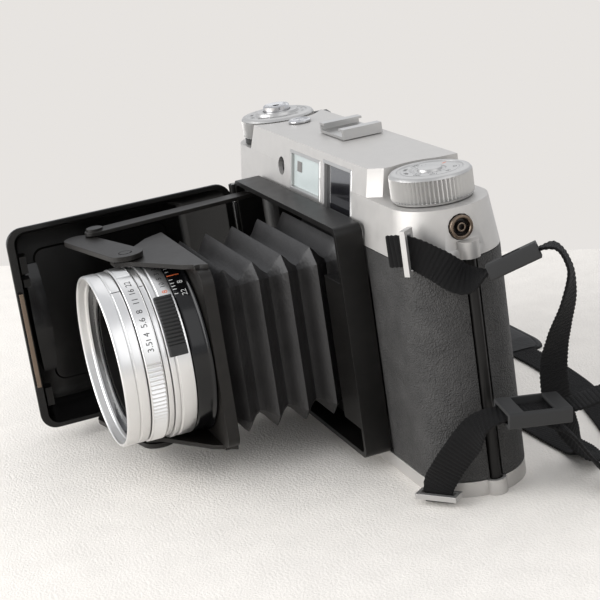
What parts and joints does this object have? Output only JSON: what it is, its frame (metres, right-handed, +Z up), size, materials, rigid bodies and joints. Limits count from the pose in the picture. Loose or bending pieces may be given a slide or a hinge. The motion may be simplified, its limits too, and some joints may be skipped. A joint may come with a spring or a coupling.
{
  "type": "folding rangefinder camera",
  "caption": "Folding medium-format rangefinder camera with a side-hinged front door, leather bellows, coupled struts, ringed lens, dialled top cover and a webbing neck strap.",
  "frame": {"origin": "middle of the base's bottom face, on the flat underside under the film chamber", "axes": "+X towards the wearer's left hand, -Y the way the lens points, +Z up"},
  "size_m": [0.2112, 0.192, 0.1058],
  "materials": {
    "satin_silver": "fine bead-blasted satin, light warm grey",
    "bright_silver": "turned satin silver anodising",
    "black_metal": "satin black anodising",
    "black_plastic": "fine matt",
    "leatherette": "fine pebbled grip covering",
    "bellows_skin": "matt pleated bellows leather",
    "glass": "coated optical glass",
    "frosted": "frosted light window",
    "bronze": "turned bronze-coloured rim",
    "steel": "brushed",
    "webbing": "ribbed black webbing",
    "pad": "soft black neck pad"
  },
  "bodies": {
    "body": {"bottom_cover": "satin_silver", "tripod_socket": "steel", "battery": "steel", "body_casting": "black_metal", "grip_near": "leatherette", "grip_far": "leatherette", "top_cover": "satin_silver", "back_hinge_pin": "steel", "film_gate": "black_metal", "view_window": "glass", "frameline_window": "frosted", "rangefinder_window": "glass", "finder_housing": "black_plastic", "beamsplitter_prism": "glass", "eyepiece": "black_plastic", "eyepiece_lens": "glass", "hot_shoe": "satin_silver", "flash_socket": "bronze", "strap_lug_upper": "satin_silver", "strap_lug_lower": "satin_silver", "frame_counter": "bright_silver", "front_frame": "black_metal", "door_hinge_pin": "steel", "bellows": "bellows_skin", "strap_webbing_upper": "webbing", "strap_webbing_lower": "webbing", "buckle_upper": "black_plastic", "buckle_lower": "black_plastic", "neck_pad": "pad", "strap_webbing_tail": "webbing"},
    "battery_door": {"battery_lid": "black_metal"},
    "back": {"back_door": "leatherette", "pressure_plate": "black_metal", "plate_spring": "steel"},
    "lock_bar": {"back_lock_bar": "black_metal"},
    "supply": {"supply_spool": "black_plastic"},
    "takeup": {"takeup_spool": "black_plastic"},
    "roller_near": {"film_roller_near": "steel"},
    "roller_far": {"film_roller_far": "steel"},
    "door": {"front_door": "black_metal"},
    "door_latch": {"door_latch_bar": "steel"},
    "standard": {"lens_board": "black_metal", "shutter_housing": "black_metal", "depth_scale_ring": "black_metal", "front_ring": "bright_silver", "lens_barrel": "black_metal", "front_element": "glass", "rear_element": "glass", "shutter_blades": "black_metal"},
    "focus": {"focus_ring": "bright_silver", "focus_tab": "black_plastic"},
    "aperture": {"aperture_ring": "bright_silver"},
    "strut_up": {"strut_upper": "black_metal"},
    "strut_low": {"strut_lower": "black_metal"},
    "link_up": {"link_upper": "black_metal"},
    "link_low": {"link_lower": "black_metal"},
    "shutter_speed": {"shutter_dial": "bright_silver"},
    "iso": {"iso_dial": "bright_silver"},
    "release": {"shutter_button": "bright_silver"},
    "lever": {"advance_lever": "black_metal"}
  },
  "joints": [
    {"name": "front_door_hinge", "type": "hinge", "parent": "body", "child": "door", "pos_m": [-0.054, -0.026, 0.045], "axis": [0, 0, 1], "range_deg": [0, 90]},
    {"name": "lens_standard_slide", "type": "slide", "parent": "body", "child": "standard", "axis": [0, 1, 0], "range_m": [0, 0.06], "deforming": ["bellows"]},
    {"name": "strut_upper_pivot", "type": "hinge", "parent": "body", "child": "strut_up", "pos_m": [-0.045, -0.0218, 0.0796], "axis": [0, 0, 1], "range_deg": [0, 84]},
    {"name": "strut_lower_pivot", "type": "hinge", "parent": "body", "child": "strut_low", "pos_m": [-0.045, -0.0218, 0.0084], "axis": [0, 0, 1], "range_deg": [0, 84]},
    {"name": "link_upper_pivot", "type": "hinge", "parent": "standard", "child": "link_up", "pos_m": [-0.005, -0.0815, 0.0777], "axis": [0, 0, 1], "range_deg": [-14, 0]},
    {"name": "link_lower_pivot", "type": "hinge", "parent": "standard", "child": "link_low", "pos_m": [-0.005, -0.0815, 0.0103], "axis": [0, 0, 1], "range_deg": [-14, 0]},
    {"name": "door_latch_slide", "type": "slide", "parent": "door", "child": "door_latch", "axis": [0, 0, 1], "range_m": [0, 0.003]},
    {"name": "focus_turn", "type": "hinge", "parent": "standard", "child": "focus", "pos_m": [-0.002, -0.077, 0.044], "axis": [0, 1, 0], "range_deg": [-20, 75]},
    {"name": "aperture_turn", "type": "hinge", "parent": "standard", "child": "aperture", "pos_m": [-0.002, -0.086, 0.044], "axis": [0, 1, 0], "range_deg": [-35, 35]},
    {"name": "back_door_hinge", "type": "hinge", "parent": "body", "child": "back", "pos_m": [-0.089, 0.0018, 0.041], "axis": [0, 0, 1], "range_deg": [0, 105]},
    {"name": "back_lock_slide", "type": "slide", "parent": "body", "child": "lock_bar", "axis": [0, 0, 1], "range_m": [0, 0.003]},
    {"name": "shutter_speed_turn", "type": "hinge", "parent": "body", "child": "shutter_speed", "pos_m": [-0.0695, 0.0005, 0.1], "axis": [0, 0, 1], "range_deg": [-150, 150]},
    {"name": "iso_turn", "type": "hinge", "parent": "body", "child": "iso", "pos_m": [0.0695, 0.0005, 0.098], "axis": [0, 0, 1], "range_deg": [-150, 150]},
    {"name": "shutter_release", "type": "slide", "parent": "body", "child": "release", "axis": [0, 0, -1], "range_m": [0, 0.0015], "stiffness_N_per_m": 300},
    {"name": "advance_lever_turn", "type": "hinge", "parent": "body", "child": "lever", "pos_m": [-0.0695, 0.0005, 0.094], "axis": [0, 0, 1], "range_deg": [0, 130], "stiffness_Nm_per_rad": 0.01},
    {"name": "takeup_turn", "type": "hinge", "parent": "body", "child": "takeup", "pos_m": [-0.0715, 0.001, 0.044], "axis": [0, 0, 1], "range_deg": [0, 325]},
    {"name": "supply_turn", "type": "hinge", "parent": "body", "child": "supply", "pos_m": [0.0715, 0.001, 0.044], "axis": [0, 0, 1], "continuous": true},
    {"name": "roller_near_turn", "type": "hinge", "parent": "body", "child": "roller_near", "pos_m": [0.0475, 0.0103, 0.044], "axis": [0, 0, 1], "continuous": true},
    {"name": "roller_far_turn", "type": "hinge", "parent": "body", "child": "roller_far", "pos_m": [-0.0515, 0.0103, 0.044], "axis": [0, 0, 1], "continuous": true},
    {"name": "battery_lid_turn", "type": "hinge", "parent": "body", "child": "battery_door", "pos_m": [-0.0485, -0.0035, 0.0017], "axis": [0, 0, 1], "range_deg": [0, 90]}
  ],
  "couplings": [
    {"joint": "lens_standard_slide", "follows": "front_door_hinge", "m_per_rad": 0.038197},
    {"joint": "strut_upper_pivot", "follows": "front_door_hinge", "ratio": 0.93},
    {"joint": "strut_lower_pivot", "follows": "front_door_hinge", "ratio": 0.93},
    {"joint": "link_upper_pivot", "follows": "front_door_hinge", "ratio": -0.15},
    {"joint": "link_lower_pivot", "follows": "front_door_hinge", "ratio": -0.15},
    {"joint": "takeup_turn", "follows": "advance_lever_turn", "ratio": 2.5}
  ]
}
